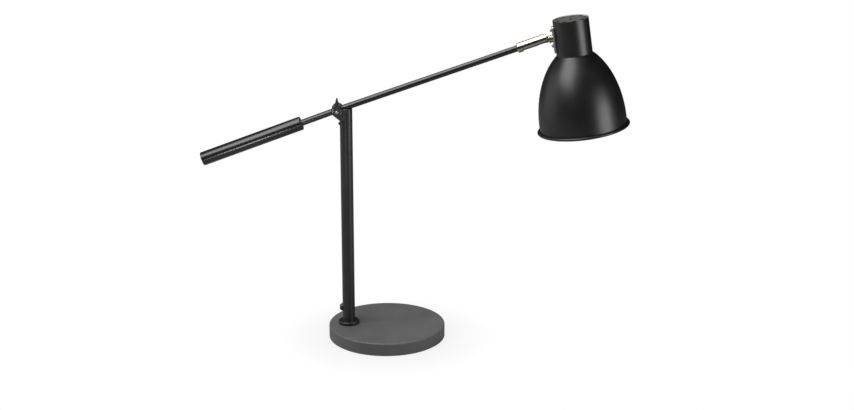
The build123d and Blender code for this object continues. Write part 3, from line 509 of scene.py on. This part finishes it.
WALL = 1.0
NECK = 22.5
NECK_INSIDE = NECK - WALL
BELLY = 55.0
BELLY_LEVEL = -131.54
BELLY_SHIFT = 10.0
BOWL_RISE = 100.5
RIM_LEVEL = BELLY_LEVEL - 8.0
BEAD = 1.8
BEAD_MIDDLE = BELLY + 1.6
BEAD_START = 152.7
CREASE = 2.5
CREASE_START = 180.0
OUTER_CREASE_LEVEL = -43.38
OUTER_CREASE_END = 228.2
OUTER_BOWL_TOP = 59.0
INNER_CREASE_LEVEL = -43.80
INNER_CREASE_END = 228.7
INNER_BOWL_TOP = 59.5
WHITE_TOP = -4.5
WHITE_RADIUS = BELLY - 0.5

HOLE_START = 14.0
HOLE_END = 25.0
STEM_HOLE = 6.4
SCREW_HOLE = 3.0
SCREW_ABOVE_STEM = 10.8
SCREW_BELOW_STEM = 9.2

CAP_RADIUS = 21.4
CAP_LEVEL = -0.6
CAP_ROUND = 0.5
CAP_SKIRT_FOOT = -4.2
CAP_INSIDE = CAP_RADIUS - WALL
CAP_UNDERSIDE = CAP_LEVEL - WALL
CAP_RIM_START = 20.6
VENT_DIAMETER = 4.8
VENT_COUNT = 9
VENT_RING = 17.4
VENT_CUT_TOP = 2.0
VENT_CUT_FOOT = -2.5
WALL_SLANT = 0.5

ARM_SAG = radians(1.1)
PIVOT = Vector((-60.2, 0.0, 302.0)) * MM
REAR_PLACE = Matrix.Translation(PIVOT) @ Matrix.Rotation(-pi / 2 - ARM_SLOPE - ARM_SAG, 4, "Y")
WEIGHT_NEAR = 48.4
WEIGHT_FAR = 183.38
WEIGHT_RADIUS = 8.745
WEIGHT_ROUND = 1.0
WEIGHT_SOCKET_RADIUS = 4.05
WEIGHT_SOCKET_END = 108.4


def bowl_side(belly, rise, top, steps=30):
    """The bowl's oval side, from top degrees up it down to its widest level."""
    points = []
    for i in range(steps + 1):
        angle = radians(top * (1 - i / steps))
        across = (belly + BELLY_SHIFT) * cos(angle) - BELLY_SHIFT
        points.append((across, BELLY_LEVEL + rise * sin(angle)))
    return points


def shade_profile():
    """The shade's wall: down the outside, round the bead and up the inside."""
    outside = [(NECK, 0.0)]
    outside += arc(NECK + CREASE, OUTER_CREASE_LEVEL, CREASE, CREASE_START, OUTER_CREASE_END, 6)
    outside += bowl_side(BELLY, BOWL_RISE, OUTER_BOWL_TOP)
    outside += arc(BEAD_MIDDLE, RIM_LEVEL, BEAD, BEAD_START, -180.0, 22)
    inside = [(NECK_INSIDE, 0.0)]
    inside += arc(NECK_INSIDE + CREASE, INNER_CREASE_LEVEL, CREASE, CREASE_START, INNER_CREASE_END, 6)
    inside += bowl_side(BELLY - WALL, BOWL_RISE - WALL, INNER_BOWL_TOP)
    inside += [(BELLY - WALL, RIM_LEVEL)]
    return outside + inside[::-1] + outside[:1]


def in_shade(place):
    """A point in the shade's frame, in millimetres."""
    return (SHADE_PLACE.inverted() @ place) / MM


def inside_shade(place, normal):
    """True on the wall's inner faces, from the cap's skirt down to the bead."""
    spot = in_shade(place)
    across = Vector((spot.x, spot.y, 0.0))
    faces_axis = normal.dot(SHADE_PLACE.to_3x3() @ across) < 0.0
    return spot.z < WHITE_TOP and faces_axis and across.length < WHITE_RADIUS


def neck_hole(height):
    """Ends of a rod through the neck's wall, height above the stem."""
    return [STEM_PIN + (STEM_ALONG * reach + STEM_UP * height) * MM for reach in (HOLE_START, HOLE_END)]


def spun_shade():
    """Spun shade, white inside, with the holes for the stem and the bracket's screws."""
    shade = turned("shade_shell_spun", shade_profile(), SHADE_PLACE, sides=160)
    drill(shade, [neck_hole(0.0)], STEM_HOLE)
    drill(shade, [neck_hole(SCREW_ABOVE_STEM), neck_hole(-SCREW_BELOW_STEM)], SCREW_HOLE)
    smooth()
    dress(shade, "shade", "shade_shell")
    finish_faces(shade, SHADE_WHITE, inside_shade)


def vent_ends(radius, angle):
    """Ends of a rod through the cap's plate, where one vent is."""
    across, along = radius * cos(angle), radius * sin(angle)
    return [SHADE_PLACE @ (Vector((across, along, level)) * MM) for level in (VENT_CUT_TOP, VENT_CUT_FOOT)]


def cap_painted_shade_faces(place, normal):
    """True on the vents' walls and on the cap's rounded rim, where the deeper black goes as painted shade.
    """
    spot = in_shade(place)
    on_rim = Vector((spot.x, spot.y)).length > CAP_RIM_START
    return on_rim or abs(normal.dot(STEM_UP)) < WALL_SLANT


def pressed_cap():
    """Pressed cap in the neck's top: a plate with a skirt, a vent in the middle and a ring of them."""
    profile = arc(CAP_RADIUS - CAP_ROUND, CAP_LEVEL - CAP_ROUND, CAP_ROUND, 90.0, 0.0, 5)
    profile += [(CAP_RADIUS, CAP_SKIRT_FOOT), (CAP_INSIDE, CAP_SKIRT_FOOT), (CAP_INSIDE, CAP_UNDERSIDE)]
    cap = turned("vent_cap_pressed", profile, SHADE_PLACE, sides=128)
    ring = [vent_ends(VENT_RING, 2 * pi * i / VENT_COUNT) for i in range(VENT_COUNT)]
    drill(cap, [vent_ends(0.0, 0.0)] + ring, VENT_DIAMETER)
    smooth()
    dress(cap, "shade", "vent_cap")
    # The vents' walls and the cap's rim take the lampshade's deeper black as painted shade.
    finish_faces(cap, LAMPSHADE_BLACK_PAINTED_SHADE, cap_painted_shade_faces)


def bar_counterweight():
    """Round bar with rounded ends, bored at its near end for the rear arm tube."""
    middle = WEIGHT_RADIUS - WEIGHT_ROUND
    profile = arc(middle, WEIGHT_FAR - WEIGHT_ROUND, WEIGHT_ROUND, 90.0, 0.0, 6)
    profile += arc(middle, WEIGHT_NEAR + WEIGHT_ROUND, WEIGHT_ROUND, 0.0, -90.0, 6)
    profile += [(WEIGHT_SOCKET_RADIUS, WEIGHT_NEAR), (WEIGHT_SOCKET_RADIUS, WEIGHT_SOCKET_END)]
    weight = turned("counterweight_bar", profile, REAR_PLACE)
    dress(weight, "arm", "counterweight")


spun_shade()
pressed_cap()
bar_counterweight()

# ------------------------------------------------------------------ camera
SENSOR_WIDTH = 36.0
FOCAL_PIXELS = 1700.0
PHOTO_WIDTH = 854.0
CAMERA_PLACE = (0.0597, -2.0718, 0.8144)
CAMERA_DROP = 17.09
CAMERA_TURN = 0.21

camera_data = bpy.data.cameras.new("camera")
camera_data.sensor_width = SENSOR_WIDTH
camera_data.lens = FOCAL_PIXELS / PHOTO_WIDTH * SENSOR_WIDTH
camera = bpy.data.objects.new("camera", camera_data)
camera.location = CAMERA_PLACE
camera.rotation_euler = (radians(90.0 - CAMERA_DROP), 0.0, radians(CAMERA_TURN))
bpy.context.collection.objects.link(camera)
bpy.context.scene.camera = camera


# ------------------------------------------------------------------ floor, world and lamps
FLOOR_SIZE = 14.0
FLOOR_LEVEL = -0.0002
SHADOW_FULL = 0.075
SHADOW_END = 0.14
WHITE_IN_SHADOW = 0.85
ROOM_LEVEL = 0.03
BACK_LEVEL = 1.1
BACK_WAY = (-0.45, 0.85, 0.28)
BACK_START = 0.55
BACK_FULL = 0.95


def floor_material():
    """Pale floor: near the base it takes the shadow, further off the camera sees plain white."""
    finish = Finish("floor_paper")
    paper = finish.noise(size=0.4)
    finish.set(Base_Color=finish.blend(paper, (0.30, 0.30, 0.30), (0.32, 0.32, 0.32)), Roughness=0.9)
    distance = finish.node("ShaderNodeVectorMath", {"operation": "LENGTH"}, {0: finish.place}, "Value")
    seen = finish.node("ShaderNodeLightPath", {}, {}, "Is Camera Ray")
    white = seen * finish.range(distance, SHADOW_FULL, SHADOW_END, WHITE_IN_SHADOW, 1.0)
    glow = finish.node("ShaderNodeEmission", {}, {"Color": (1.0, 1.0, 1.0), "Strength": 1.0})
    lit = Wire(finish, finish.shader.outputs[0])
    mixed = finish.node("ShaderNodeMixShader", {}, {0: white, 1: lit, 2: glow})
    finish.feed(finish.tree.nodes["Material Output"].inputs["Surface"], mixed)
    return finish.material


def world_light():
    """Dim room light, paler behind the lamp on the left; the camera sees an even pale ground."""
    world = bpy.data.worlds.new("studio")
    bpy.context.scene.world = world
    world.use_nodes = True
    nodes = Nodes(world.node_tree)
    background = nodes.tree.nodes["Background"]
    way = nodes.node("ShaderNodeTexCoord", {}, {}, "Generated")
    dot = {"operation": "DOT_PRODUCT"}
    backward = nodes.node("ShaderNodeVectorMath", dot, {0: way, 1: BACK_WAY}, "Value")
    level = nodes.range(backward, BACK_START, BACK_FULL, ROOM_LEVEL, BACK_LEVEL)
    nodes.feed(background.inputs["Strength"], level)
    room = Wire(nodes, background.outputs[0])
    pale = nodes.node("ShaderNodeBackground", {}, {})
    seen = nodes.node("ShaderNodeLightPath", {}, {}, "Is Camera Ray")
    mixed = nodes.node("ShaderNodeMixShader", {}, {0: seen, 1: room, 2: pale})
    nodes.feed(nodes.tree.nodes["World Output"].inputs["Surface"], mixed)


def softbox(name, direction, distance, size, power, aim=(0.05, 0.0, 0.25), spread=180.0):
    """A rectangular lamp in that direction from the point it is aimed at."""
    data = bpy.data.lights.new(name, "AREA")
    data.shape = "RECTANGLE"
    data.size, data.size_y = size
    data.energy = power
    data.spread = radians(spread)
    lamp = bpy.data.objects.new(name, data)
    lamp.visible_camera = False
    way = Vector(direction).normalized()
    lamp.location = Vector(aim) + way * distance
    lamp.rotation_euler = (-way).to_track_quat("-Z", "Y").to_euler()
    bpy.context.collection.objects.link(lamp)


deselect()
bpy.ops.mesh.primitive_plane_add(size=FLOOR_SIZE, location=(0.0, 0.0, FLOOR_LEVEL))
floor = bpy.context.active_object
floor.name = "floor"
floor.data.materials.append(floor_material())

world_light()
softbox("overhead", direction=(-0.12, 0.20, 1.0), distance=1.6, size=(1.0, 1.0), power=18.0)
softbox("left_top", direction=(-0.50, -0.40, 0.80), distance=1.6, size=(1.3, 1.3), power=33.0)
softbox(
    "right_side",
    direction=(0.86, -0.51, 0.0),
    distance=1.0,
    size=(0.52, 0.54),
    power=5.8,
    aim=(0.15, 0.0, 0.30),
)
softbox(
    "left_side",
    direction=(-1.0, 0.15, 0.0),
    distance=1.4,
    size=(1.2, 1.0),
    power=4.5,
    aim=(0.05, 0.0, 0.52),
)
softbox(
    "front_strip",
    direction=(-0.088, -0.94, -0.32),
    distance=0.66,
    size=(0.17, 0.08),
    power=0.016,
    aim=(-0.165, 0.0, 0.264),
    spread=20.0,
)
bpy.context.scene.view_settings.view_transform = "Standard"
